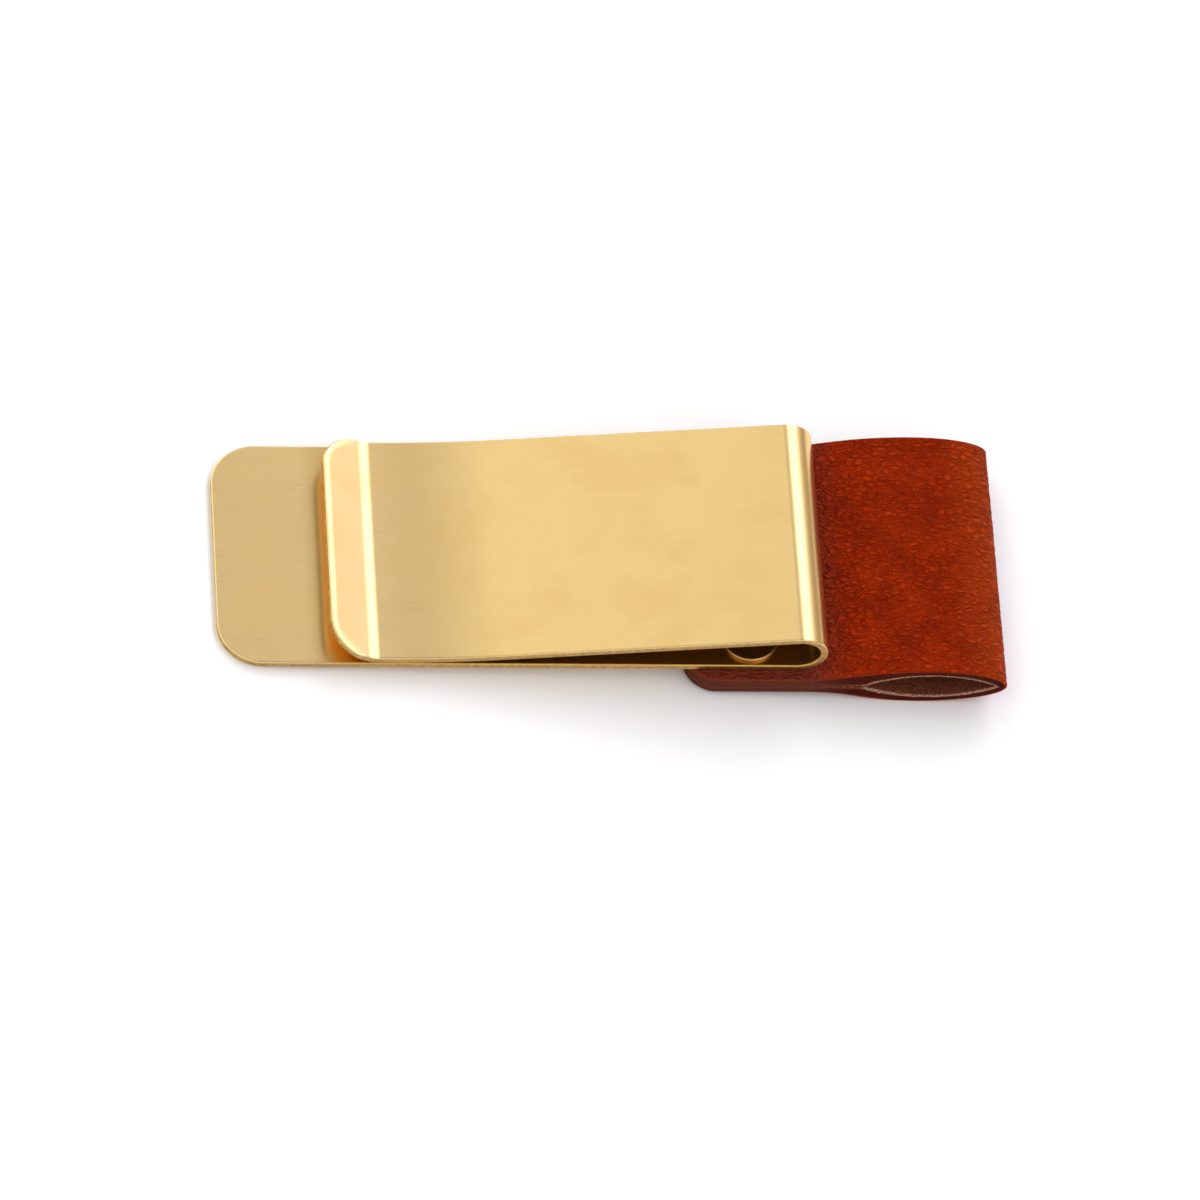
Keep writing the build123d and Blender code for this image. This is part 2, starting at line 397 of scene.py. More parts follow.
def strip_piece(name, start, heading, runs, distance, from_end, corner, body, inner, soft=0.0, columns=14):
    """A length of the brass strip: its face rows carried along the middle line, upper and lower.

    The upper point is the line's point plus the line's normal times (half the thickness - drop), and
    the lower point is the same with a minus sign. The normal is (sine, -cosine) of the heading.
    Near a softened end, the drop grows by (the band's width - depth) squared over twice its radius.
    `inner` gives, for a place along the clip, how much painted shade the upper and the lower face get.
    """
    strip = bpy.context.scene.clip_strip
    y, drop, depth = face_rows(from_end, strip.width / 2, corner, strip.edge, columns)
    if soft:
        near_tip = np.clip(2 - 2 * from_end / corner, 0, 1)[:, None]
        drop = drop + near_tip * np.clip(soft - depth, 0, None) ** 2 / (2 * strip.softening_radius)
    x, z, facing = along_path(start, heading, runs, distance)
    lift = strip.thickness / 2 - drop
    sine, cosine = np.sin(facing)[:, None], np.cos(facing)[:, None]
    upper = to_row(x[:, None] + sine * lift, y, z[:, None] - cosine * lift)
    lower = to_row(x[:, None] - sine * lift, y, z[:, None] + cosine * lift)
    points = two_sided(upper, lower)
    rings, around = points.shape[:2]
    faces = np.concatenate([ring_faces(rings, around), end_faces(rings, around)])
    piece = new_piece(name + "_brushed", points, faces, brushed_brass(), body, name)
    worn = 1 - np.clip(depth / strip.edge, 0, 1)
    cut = (depth < 0.02 * strip.edge).astype(float)
    paint(piece, "worn", two_sided(worn, worn))
    paint(piece, "cut", two_sided(cut, cut))
    over, below = (np.broadcast_to(side[:, None], y.shape) for side in inner(x))
    # painted shade: the share of the deeper brown tone on each face
    paint(piece, "inner", two_sided(over, below))
    return piece


def leaf_lines():
    """The front leaf's start, slope and runs, on its middle line, going from the fold to the tip.

    The leaf's lower face leaves the inside of the fold as a tangent and is aimed at the touching
    point. It levels out there on a wide arc, runs on level, and turns up at the crease.
    """
    strip = bpy.context.scene.clip_strip
    half = strip.thickness / 2
    inside = strip.fold_radius - strip.thickness
    touch_x = strip.tongue + strip.touch_run
    run_x, run_z = strip.back_length - touch_x, inside - strip.closing_gap
    slope = math.atan2(run_z, run_x) + math.asin(inside / math.hypot(run_x, run_z))
    lower = np.array((strip.back_length, inside)) + inside * np.array((-math.sin(slope), math.cos(slope)))
    straight = math.dist(lower, (touch_x, strip.closing_gap)) - strip.ease
    ease_radius = strip.ease / math.tan(slope / 2)
    lip, crease = strip.lip_angle, strip.crease
    lip_foot = strip.tongue + strip.lip_length * math.cos(lip) + crease * math.sin(lip)
    level = touch_x - strip.ease - lip_foot
    runs = [
        (straight, 0.0),
        ((ease_radius - half) * slope, -slope),
        (level, 0.0),
        ((crease + half) * lip, -lip),
        (strip.lip_length, 0.0),
    ]
    middle = lower + half * np.array((-math.sin(slope), math.cos(slope)))
    return middle, slope, runs


# ---- leather ----


def bezier(first, second, third, last):
    """Points on a cubic curve: the four points weighted by (1-t)^3, 3t(1-t)^2, 3t^2(1-t) and t^3."""
    t = np.linspace(0, 1, LINE_POINTS)[:, None]
    first, second, third, last = (np.array(p) for p in (first, second, third, last))
    return (1 - t) ** 3 * first + 3 * t * (1 - t) ** 2 * second + 3 * t**2 * (1 - t) * third + t**3 * last


def quarter_ellipse(centre, wide, high):
    """Points from straight above or below the centre round to its right: (wide sine, high cosine)."""
    t = np.linspace(0, math.pi / 2, LINE_POINTS)
    return np.column_stack([centre[0] + wide * np.sin(t), centre[1] + high * np.cos(t)])


def arc_through(first, middle, last):
    """Points on the circle through three points, evenly by angle about its centre."""
    (ax, ay), (bx, by), (cx, cy) = first, middle, last
    d = 2 * (ax * (by - cy) + bx * (cy - ay) + cx * (ay - by))
    a2, b2, c2 = ax**2 + ay**2, bx**2 + by**2, cx**2 + cy**2
    ux = (a2 * (by - cy) + b2 * (cy - ay) + c2 * (ay - by)) / d
    uy = (a2 * (cx - bx) + b2 * (ax - cx) + c2 * (bx - ax)) / d
    begin, finish = math.atan2(ay - uy, ax - ux), math.atan2(cy - uy, cx - ux)
    turn = (finish - begin + math.pi) % (2 * math.pi) - math.pi
    t = np.linspace(begin, begin + turn, LINE_POINTS)
    radius = math.hypot(ax - ux, ay - uy)
    return np.column_stack([ux + radius * np.cos(t), uy + radius * np.sin(t)])


def spaced(line, knots, shares):
    """Points on a line that always runs towards +x, between knots given by their x.

    Between two knots the points stand at the given shares of the length from one to the other.
    """
    gone = np.concatenate([[0], np.cumsum(np.hypot(*np.diff(line, axis=0).T))])
    marks = np.interp(knots, line[:, 0], gone)
    wanted = np.concatenate(
        [[marks[0]]] + [a + (b - a) * part[1:] for a, b, part in zip(marks, marks[1:], shares)]
    )
    return np.column_stack([np.interp(wanted, gone, line[:, k]) for k in (0, 1)])


def strap_lines():
    """The strap's grain side and flesh side in the side view, point matched to point, from the lower
    tail round the nose to the upper tail, and each pair's distance from the nearer tail."""
    strip, strap = bpy.context.scene.clip_strip, bpy.context.scene.clip_strap
    fold_x = strip.back_length
    top = -strip.thickness
    seam_top = top - strap.thickness
    seam_bottom = seam_top - strap.layer_gap
    bottom = seam_bottom - strap.thickness
    tail_x, lift_x = fold_x - strap.tail, fold_x + strap.lift_off
    left, right = fold_x + strap.mouth_start, fold_x + strap.mouth_end
    middle, drop = (left + right) / 2, strap.mouth_drop
    roof, sill = -drop + strap.mouth_height / 2, -drop - strap.mouth_height / 2
    nose_x = right + strap.thickness
    crown = (fold_x + strap.crown_run, roof + strap.thickness)
    belly = (fold_x + strap.belly_run, sill - strap.thickness)

    tail_steps = end_steps(strap.corner, strap.edge, lift_x - tail_x, 18) / (lift_x - tail_x)

    def layer(face, seam, extreme, peak, pulls, counts):
        """One layer's grain side and flesh side, from its tail to the nose."""
        reach = extreme[0] - lift_x
        out, back = lift_x + pulls[0] * reach, extreme[0] - pulls[1] * reach
        away = bezier((lift_x, face), (out, face), (back, extreme[1]), extreme)
        over = quarter_ellipse((extreme[0], -drop), nose_x - extreme[0], extreme[1] + drop)
        grain = np.concatenate([[(tail_x, face)], away, over[1:]])
        arc = arc_through((left, seam), (middle, peak), (right, -drop))
        flesh = np.concatenate([[(tail_x, seam)], arc])
        shares = [tail_steps] + [np.linspace(0, 1, count + 1) for count in counts]
        grain = spaced(grain, (tail_x, lift_x, left, extreme[0], nose_x), shares)
        return grain, spaced(flesh, (tail_x, lift_x, left, middle, right), shares)

    low_grain, low_flesh = layer(bottom, seam_bottom, belly, sill, (0.45, 0.5), (18, 18, 40))
    high_grain, high_flesh = layer(top, seam_top, crown, roof, (0.17, 0.56), (36, 44, 66))
    grain = np.concatenate([low_grain, high_grain[-2::-1]])
    flesh = np.concatenate([low_flesh, high_flesh[-2::-1]])
    return grain, flesh, grain[:, 0] - tail_x


def ripples(u, v, seed):
    """A smooth uneven field from about -1 to 1: the mean of several sines of u and v, each with its own
    direction, pitch and start."""
    waves = 7
    draw = np.random.default_rng(seed)
    direction, start = draw.uniform(0, 2 * math.pi, waves), draw.uniform(0, 2 * math.pi, waves)
    pitch = draw.uniform(0.6, 1.7, waves)
    field = sum(
        np.sin(p * (u * math.cos(d) + v * math.sin(d)) + s) for p, d, s in zip(pitch, direction, start)
    )
    return field / math.sqrt(waves / 2) / 2


def swell(u, v, seed):
    """Smooth noise from about -1 to 1. Each whole-numbered corner has its own random slope. A place's
    value is the four nearest corners' slopes times the way from each corner, blended by
    6t^5 - 15t^4 + 10t^3 in u and in v."""
    turn = np.random.default_rng(seed).uniform(0, 2 * math.pi, (SWELL_TILE, SWELL_TILE))
    corner_u, corner_v = np.floor(u).astype(int), np.floor(v).astype(int)
    into_u, into_v = u - corner_u, v - corner_v
    ease_u, ease_v = (t**3 * (t * (6 * t - 15) + 10) for t in (into_u, into_v))
    total = 0
    for du in (0, 1):
        for dv in (0, 1):
            slope = turn[(corner_u + du) % SWELL_TILE, (corner_v + dv) % SWELL_TILE]
            rise = np.cos(slope) * (into_u - du) + np.sin(slope) * (into_v - dv)
            weight = (ease_u if du else 1 - ease_u) * (ease_v if dv else 1 - ease_v)
            total = total + weight * rise
    return 1.5 * total


def grain_relief(along, across, strap):
    """How deep the grain lies at each place, from 0 on the tops to about 1 in the creases.

    Two sizes of swell, longer along the strap than across it, pushed about by slow ripples. A
    crease is a bell of a swell's value, so it runs where that swell crosses 0.
    """
    u, v = along / strap.grain_length, across / strap.grain_width
    bend_u = u + 0.5 * swell(u * 0.45, v * 0.3, 11)
    bend_v = v + 0.9 * swell(u * 0.5, v * 0.22, 12)
    wide = swell(bend_u, bend_v, 21)
    fine = swell(bend_u * 1.9 + 7, bend_v * 1.7 + 3, 22)
    crease = np.exp(-((swell(bend_u * 1.15 + 5, bend_v * 1.1 + 9, 23) / 0.2) ** 2))
    patchy = 0.85 + 0.3 * swell(u * 0.22, v * 0.1, 13)
    return np.clip(0.38 - patchy * (0.42 * wide + 0.22 * fine - 0.34 * crease), 0, 1)


def leather_loop():
    """The strap as one closed surface: grain side, cut edge, flesh side and the other cut edge.

    A point on the grain side is its line's point, moved towards the flesh side's point by the
    edge's drop and the grain's depth. A point on the flesh side is moved the other way by
    its own drop. The cut edges run straight between, roughened a little by their fibres.
    The numbers painted on it tell its material where the rim, the nose and the tail are.
    """
    strap = bpy.context.scene.clip_strap
    grain, flesh, from_tail = strap_lines()
    inward = flesh - grain
    thick = np.hypot(inward[:, 0], inward[:, 1])[:, None]
    inward = inward / thick
    gone = np.concatenate([[0], np.cumsum(np.hypot(*np.diff(grain, axis=0).T))])[:, None]

    half = strap.width / 2
    outer_y, outer_drop, outer_depth = face_rows(from_tail, half, strap.corner, strap.edge, 208)
    inner_y, inner_drop, inner_depth = face_rows(from_tail, half, strap.corner, strap.edge, 34)

    relief = grain_relief(np.broadcast_to(gone, outer_y.shape), outer_y, strap)
    fade = np.clip(outer_depth / (2.2 * strap.edge), 0, 1)
    outer_in = outer_drop + strap.grain_depth * relief * fade
    fluff = 0.5 + 0.5 * ripples(gone / (0.35 * MM) + 0 * inner_y, inner_y / (0.35 * MM), 31)
    inner_in = thick - inner_drop - 0.02 * MM * fluff

    def rows(*parts):
        """Joins the grain side's, a cut edge's, the flesh side's and the other edge's values."""
        widths = (outer_y.shape[1], WALL_POINTS, inner_y.shape[1], WALL_POINTS)
        return np.concatenate([np.broadcast_to(p, (len(gone), w)) for p, w in zip(parts, widths)], 1)

    wall_share = np.linspace(0, 1, WALL_POINTS + 2)[None, 1:-1]
    rough = ripples(gone / (0.22 * MM), wall_share * 3.0, 32) * 0.012 * MM
    first_wall = outer_in[:, -1:] + (inner_in[:, -1:] - outer_in[:, -1:]) * wall_share
    last_wall = inner_in[:, :1] + (outer_in[:, :1] - inner_in[:, :1]) * wall_share
    hollow = 0.012 * MM
    far_wall, near_wall = outer_y[:, -1:] - hollow + rough, inner_y[:, :1] + hollow + rough
    y = rows(outer_y, far_wall, inner_y[:, ::-1], near_wall)
    depth_in = rows(outer_in, first_wall, inner_in[:, ::-1], last_wall)
    x = grain[:, :1] + inward[:, :1] * depth_in
    z = grain[:, 1:] + inward[:, 1:] * depth_in
    points = to_row(x, y, z)
    rings, around = y.shape

    ends = [list(range(around - 1, -1, -1)), [(rings - 1) * around + k for k in range(around)]]
    faces = ring_faces(rings, around).tolist() + ends
    piece = new_piece(
        "pen_loop_leather", points, faces, strap_leather(), FIXED_BODY, "pen_loop", 60
    )

    seam_run, nose_run = 3.5 * MM, 4.2 * MM
    off_tail = from_tail[:, None] - strap.tail - strap.lift_off
    in_mouth = np.clip((off_tail - seam_run) / (1.5 * MM), 0, 1)
    wall_rim = np.clip(1 - wall_share / 0.5, 0, 1)
    inner_rim = 1 - np.clip(inner_depth / (1.6 * strap.edge), 0, 1)
    to_nose = LOOP_HIGH[0] - LOOP_LOW[0] - from_tail[:, None]
    painted = {
        "crease": rows(relief * fade, 0, 0, 0),
        "raw": rows(0, 0.5, 1, 0.5),
        # painted shade: share along the tail, under the brass's edge
        "tail": np.broadcast_to(np.clip(1 - off_tail / seam_run, 0, 1), y.shape),
        "rim": rows(0, wall_rim[:, ::-1], inner_rim[:, ::-1], wall_rim) * in_mouth,
        # painted light: share towards the nose
        "pulled": np.broadcast_to(np.clip(1 - to_nose / nose_run, 0, 1), y.shape),
        "place": np.stack([np.broadcast_to(gone, y.shape), y, depth_in], -1) / MM,
    }
    for name, values in painted.items():
        paint(piece, name, values)
    return piece


# ---- rivets ----


def turned_piece(name, profile, worn, across, node, material):
    """A turned piece: a profile of (radius, height) carried round an upright axis.

    A point is the radius times (cosine, sine) of its angle about the axis, at the profile's height.
    The profile starts and ends on the axis, where one point closes the surface.
    """
    strip, rivets = bpy.context.scene.clip_strip, bpy.context.scene.clip_rivets
    count = TURNED_POINTS
    turn = np.arange(count) * 2 * math.pi / count
    centre = strip.back_length - rivets.setback
    radius, height = profile[1:-1, 0, None], profile[1:-1, 1, None]
    rings = to_row(centre + radius * np.cos(turn), across + radius * np.sin(turn), height + 0 * turn)
    poles = to_row(centre, across, profile[[0, -1], 1])
    levels = len(profile) - 2
    vertices = np.concatenate([rings.reshape(-1, 3), poles])
    point = np.arange(count)
    after = (point + 1) % count
    last = (levels - 1) * count
    start_cap = np.stack([point, after, np.full(count, levels * count)], -1)
    end_cap = np.stack([last + after, last + point, np.full(count, levels * count + 1)], -1)
    sides = ring_faces(levels, count)[:, ::-1]
    faces = start_cap.tolist() + end_cap.tolist() + sides.tolist()
    piece = new_piece(name, vertices, faces, material, FIXED_BODY, node, 40)
    # the worn share: a painted highlight on a post's rim, wear on a cap's dome
    paint(piece, "worn", np.append(np.repeat(worn[1:-1], count), worn[[0, -1]]))
    return piece


def strap_foot():
    """The height of the strap's lower face at the rivets."""
    strip, strap = bpy.context.scene.clip_strip, bpy.context.scene.clip_strap
    return -strip.thickness - 2 * strap.thickness - strap.layer_gap


def post_profile():
    """From the top of the head, over its rounded rim and down the shank, up its bore to the roof, and
    how much painted highlight each of those points gets."""
    rivets, foot = bpy.context.scene.clip_rivets, strap_foot()
    quarter = np.linspace(0, math.pi / 2, ROUNDING_POINTS)
    rim_r = rivets.head_radius - rivets.head_edge * (1 - np.sin(quarter))
    rim_z = rivets.head_thickness - rivets.head_edge * (1 - np.cos(quarter))
    flat = np.linspace(0, rivets.head_radius - 1.3 * rivets.head_edge, 8)
    head = [(r, rivets.head_thickness) for r in flat] + list(zip(rim_r, rim_z))
    roof = rivets.head_thickness - rivets.bore_roof
    shank, bore = rivets.shank_radius, rivets.bore_radius
    down = [(rivets.head_radius, 0), (shank, 0), (shank, foot), (bore, foot), (bore, roof), (0, roof)]
    profile = np.array(head + down, dtype=float)
    worn = np.zeros(len(profile))
    # the upper part of the head's rim gets a painted highlight
    worn[len(flat) : len(flat) + 5] = 1
    return profile, worn


def cap_profile():
    """From the top of the peg down to the cap's flat back, round its rim and over the dome.

    The dome's height is the cap's height less the rim, times one less the square of the radius share.
    How worn each point is comes with it.
    """
    rivets, seat = bpy.context.scene.clip_rivets, strap_foot()
    shares = np.linspace(1, 0, 20)
    rise = rivets.cap_height - rivets.cap_rim
    dome = [(rivets.cap_radius * s, seat - rivets.cap_rim - rise * (1 - s**2)) for s in shares]
    peg, tip = rivets.peg_radius, seat + rivets.peg_length
    back = [(0, tip), (peg, tip), (peg, seat), (rivets.cap_radius, seat)]
    profile = np.array(back + dome, dtype=float)
    worn = np.linspace(0, 1, len(profile)) ** 2
    return profile, worn


# ---- materials ----


class Value:
    """A shader number that adds, subtracts, multiplies and divides as a Python number does."""

    def __init__(self, shader, socket):
        self.shader, self.socket = shader, socket

    def math(self, operation, first, second=0.0):
        return self.shader.node("Math", {"operation": operation}, {0: first, 1: second})

    def __add__(self, other):
        return self.math("ADD", self, other)

    def __sub__(self, other):
        return self.math("SUBTRACT", self, other)

    def __mul__(self, other):
        return self.math("MULTIPLY", self, other)

    def __truediv__(self, other):
        return self.math("DIVIDE", self, other)

    def __rsub__(self, other):
        return self.math("SUBTRACT", other, self)

    __radd__, __rmul__ = __add__, __mul__


class Shader:
    """One node tree, and one method that adds any node to it."""

    def __init__(self, tree):
        self.tree = tree
        tree.nodes.clear()

    def node(self, kind, settings, values, output=0):
        """Adds a node: its settings are set first, then each socket gets its number, colour or link."""
        made = self.tree.nodes.new("ShaderNode" + kind)
        for key, value in settings.items():
            if key == "stops":
                self.set_stops(made.color_ramp, value)
            else:
                setattr(made, key, value)
        for key, value in values.items():
            if isinstance(value, Value):
                self.tree.links.new(value.socket, made.inputs[key])
            elif hasattr(value, "__len__") and made.inputs[key].type == "RGBA":
                made.inputs[key].default_value = (*value, 1.0)[:4]
            else:
                made.inputs[key].default_value = value
        return Value(self, made.outputs[output]) if len(made.outputs) else None

    @staticmethod
    def set_stops(ramp, stops):
        """Gives a colour ramp its stops, each a place and a grey level or a colour."""
        ramp.elements[0].position, ramp.elements[-1].position = stops[0][0], stops[-1][0]
        for place, _ in stops[1:-1]:
            ramp.elements.new(place)
        for element, (_, level) in zip(sorted(ramp.elements, key=lambda e: e.position), stops):
            element.color = (*level, 1.0)

    def mix(self, share, first, second):
        """A colour between two colours, by a share from 0 to 1."""
        return self.node("Mix", {"data_type": "RGBA"}, {0: share, 6: first, 7: second}, 2)

    def between(self, value, low, high):
        """0 at or under low, 1 at or over high, and smooth between them."""
        return self.node(
            "MapRange",
            {"interpolation_type": "SMOOTHSTEP"},
            {"Value": value, "From Min": low, "From Max": high},
        )

    def noise(self, vector, scale, detail=2.0, rough=0.5, output=0):
        """Noise from 0 to 1, read at a vector times a scale, or with output 1 a vector of it."""
        values = {"Vector": vector, "Scale": scale, "Detail": detail, "Roughness": rough}
        return self.node("TexNoise", {}, values, output)

    def stretched(self, vector, scale):
        """A vector scaled by a different number on each axis."""
        return self.node("Mapping", {}, {"Vector": vector, "Scale": scale})

    def finish(self, values):
        """Ends the tree with one shader, given its sockets' values."""
        surface = self.node("BsdfPrincipled", {}, values)
        self.node("OutputMaterial", {}, {"Surface": surface})

    def bump(self, height, strength, distance):
        """A normal raised by a height, at a strength and a distance in metres."""
        return self.node("Bump", {}, {"Strength": strength, "Distance": distance, "Height": height})

    def attribute(self, name, output=2):
        """A number stored on the piece, or with output 1 a vector."""
        return self.node("Attribute", {"attribute_name": name}, {}, output)


def new_material(name):
    """An empty material and its shader."""
    material = bpy.data.materials.new(name)
    material.use_nodes = True
    return material, Shader(material.node_tree)


def brushed_brass():
    """Satin brass: faint brush lines along the strip, light tarnish, worn edges, dull cuts, and a painted
    shade: a deeper brown tone inside the clip and on the back leaf from just before the lip."""
    material = bpy.data.materials.get("brushed_brass")
    if material:
        return material
    strip = bpy.context.scene.clip_strip
    material, s = new_material("brushed_brass")
    place = s.node("TexCoord", {}, {}, 3)
    fine = s.noise(s.stretched(place, (220, 16000, 220)), 1.0, 3.0, 0.6)
    broad = s.noise(s.stretched(place, (90, 3200, 90)), 1.0, 2.0, 0.5)
    tarnish = s.noise(s.stretched(place, (1.0, 1.3, 1.0)), 170.0, 3.0, 0.55)
    speck = s.noise(place, 2600.0, 2.0, 0.6)
    worn, cut, inner = s.attribute("worn"), s.attribute("cut"), s.attribute("inner")
    lines = fine * 0.6 + broad * 0.4
    dull = s.between(tarnish, 0.40, 0.68)
    face = s.mix(dull * 0.5 + (lines - 0.5) * 0.5, strip.brass, strip.brass_deep)
    edge = s.mix(s.between(speck, 0.35, 0.7) * 0.5, strip.brass_cut, strip.brass_deep)
    # painted shade: the deeper brown tone inside the clip and on the back leaf from just before the lip
    colour = s.mix(cut, s.mix(inner, face, strip.brass_painted_shade), edge)
    rough = strip.roughness + (lines - 0.5) * 0.06 + dull * 0.015 - worn * 0.06 + cut * 0.16
    height = lines * (1 - cut) + speck * 0.35
    bump = s.bump(height, 0.06, 0.04 * MM)
    s.finish({"Base Color": colour, "Metallic": 1.0, "Roughness": rough, "Normal": bump})
    return material


def turned_brass():
    """Brass of the rivets: dull and darkened as painted shade on the flats, a painted highlight on the rims,
    lighter on the worn domes.
    """
    rivets, strip = bpy.context.scene.clip_rivets, bpy.context.scene.clip_strip
    material, s = new_material("turned_brass")
    place = s.node("TexCoord", {}, {}, 3)
    patches = s.noise(place, 700.0, 3.0, 0.6)
    scuffs = s.noise(s.stretched(place, (1.0, 3.0, 1.0)), 5200.0, 2.0, 0.6)
    # painted shade: the darker rivet brass, with dull patches
    dull = s.mix(s.between(patches, 0.35, 0.7) * 0.3, rivets.brass, strip.brass_cut)
    # painted highlight on the posts' rims and wear on the caps' domes, both by the worn share
    colour = s.mix(s.attribute("worn"), dull, rivets.highlight_and_worn_brass)
    rough = 0.24 + patches * 0.10 + scuffs * 0.06
    bump = s.bump(scuffs, 0.12, 0.03 * MM)
    s.finish({"Base Color": colour, "Metallic": 1.0, "Roughness": rough, "Normal": bump})
    return material


def strap_leather():
    """Red-brown grain leather: drawn-out cells with painted shade in the creases and painted glints on the
    tops, painted light round the nose, a stained cut edge, raw fibres along the mouth's rim and painted shade
    on the tail."""
    strap = bpy.context.scene.clip_strap
    material, s = new_material("strap_leather")
    place = s.attribute("place", 1)
    crease, raw = s.attribute("crease"), s.attribute("raw")
    rim, pulled, tail = s.attribute("rim"), s.attribute("pulled"), s.attribute("tail")
    cloud = s.noise(place, 0.32, 3.0, 0.55)
    mottle = s.noise(place, 1.7, 3.0, 0.6)
    pores = s.noise(s.stretched(place, (4.2, 8.5, 6.0)), 1.0, 2.0, 0.6)
    pebble = s.noise(s.stretched(place, (1.15, 2.3, 2.0)), 1.0, 2.0, 0.5)
    drift = s.noise(place, 0.9, output=1)
    drift = s.node("VectorMath", {"operation": "SCALE"}, {0: drift, "Scale": 0.9})
    drifted = s.node("VectorMath", {"operation": "ADD"}, {0: place, 1: drift})
    cells = s.node(
        "TexVoronoi",
        {"feature": "DISTANCE_TO_EDGE"},
        {"Vector": s.stretched(drifted, (1.2, 2.5, 2.0)), "Scale": 1.0},
    )
    crest = s.between(cells, -0.06, 0.38)
    fibre = s.noise(s.stretched(place, (6.0, 6.0, 3.0)), 1.0, 4.0, 0.7)
    fuzz = s.noise(s.stretched(place, (9.0, 9.0, 9.0)), 1.0, 3.0, 0.6)

    uneven = s.between(cloud, 0.35, 0.7) * 0.35 + (mottle - 0.5) * 0.5
    tops = s.mix(uneven, strap.grain_tone, strap.dark_tone_and_crease_shade)
    # painted light: paler, more orange towards the nose, where the light from the right falls
    tops = s.mix(pulled * 0.55, tops, strap.painted_nose_light_tone)
    low = s.between(crease, 0.22, 0.85)
    # painted shade: darker in the geometry's creases and along the cells' edges
    grain = s.mix(low * 0.2 + (1 - crest) * 0.38, tops, strap.dark_tone_and_crease_shade)
    # painted glints on the cells' tops, stronger round the nose
    painted_glint = s.between(pebble, 0.5, 0.74) * crest * (pulled * 0.45 + 0.14)
    grain = s.mix(painted_glint, grain, strap.painted_glint_tone)
    light_line = s.between(rim + (fibre - 0.5) * 0.8, 0.5, 0.9) * s.between(fuzz, 0.44, 0.58)
    cut = s.mix(s.between(fibre, 0.4, 0.7) * 0.5, strap.cut_tone, strap.dark_tone_and_crease_shade)
    cut = s.mix(light_line, cut, strap.fibre_tone)
    flesh = s.mix(s.between(fibre, 0.3, 0.75), strap.flesh_tone, strap.cut_tone)
    flesh = s.mix(light_line, flesh, strap.fibre_tone)
    is_cut, is_flesh = s.between(raw, 0.1, 0.4), s.between(raw, 0.6, 0.95)
    colour = s.mix(is_flesh, s.mix(is_cut, grain, cut), flesh)
    # painted shade over the tail, under the brass's edge, with fuzzy patches
    painted_tail_shade = tail * (is_cut * 0.15 + s.between(fuzz, 0.3, 0.7) * 0.4 + 0.42)
    colour = s.mix(painted_tail_shade, colour, strap.painted_tail_shade_tone)

    rough = 0.30 + (pores - 0.5) * 0.12 + crease * 0.2 + is_cut * 0.45
    height = (crest * 0.8 + pebble * 1.1) * (1 - is_cut) + (fibre * 0.7 + fuzz * 0.4) * is_cut
    bump = s.bump(height, 0.85, 0.3 * MM)
    s.finish({"Base Color": colour, "Roughness": rough, "Specular IOR Level": 0.018, "Normal": bump})
    return material


def pale_floor():
    """A matt near-white floor with the faintest tooth."""
    stage = bpy.context.scene.clip_stage
    material, s = new_material("pale_floor")
    place = s.node("TexCoord", {}, {}, 3)
    tooth = s.noise(place, 900.0, 2.0, 0.5)
    rough = 0.9 + (tooth - 0.5) * 0.1
    s.finish({"Base Color": tuple(stage.floor), "Roughness": rough, "Specular IOR Level": 0.0})
    return material


# ---- operators ----


class BRASSCLIP_OT_back_leaf(Operator):
    """Build the long back leaf, with its free end's rounded corners"""

    bl_idname = "brassclip.back_leaf"
    bl_label = "Back Leaf"

    def execute(self, context):
        strip = context.scene.clip_strip
        long, corner = strip.back_length, strip.back_corner
        from_end = end_steps(corner, strip.edge, long, 12)[::-1]
        start, runs = (long, -strip.thickness / 2), [(long, 0.0)]

        # painted shade on the back leaf's upper face, from 1 mm before the lip's tip on to the fold, under
        # the front leaf
        def inner(x):
            return smooth_step(x, strip.tongue - 1.0 * MM, strip.tongue + 0.2 * MM), 0 * x

        strip_piece("back_leaf", start, math.pi, runs, long - from_end, from_end, corner, FIXED_BODY, inner)
        return {"FINISHED"}


class BRASSCLIP_OT_fold_spring(Operator):
    """Build the round fold that joins the two leaves"""

    bl_idname = "brassclip.fold_spring"
    bl_label = "Fold"

    def execute(self, context):
        strip = context.scene.clip_strip
        slope = leaf_lines()[1]
        turn = math.pi + slope
        middle_radius = strip.fold_radius - strip.thickness / 2
        distance = np.linspace(0, middle_radius * turn, 188)
        start = (strip.back_length, -strip.thickness / 2)
        plain = np.full(distance.shape, strip.back_corner)
        runs = [(middle_radius * turn, turn)]
        fold = strip_piece(
            "fold_spring", start, 0.0, runs, distance, plain, strip.back_corner, None, painted_shade_below
        )
        inside = strip.fold_radius - strip.thickness
        long = strip.back_length
        foot = to_row(long, 0.0, 0.0)
        head = to_row(long - inside * math.sin(slope), 0.0, inside + inside * math.cos(slope))
        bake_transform(fold)
        return {"FINISHED"}


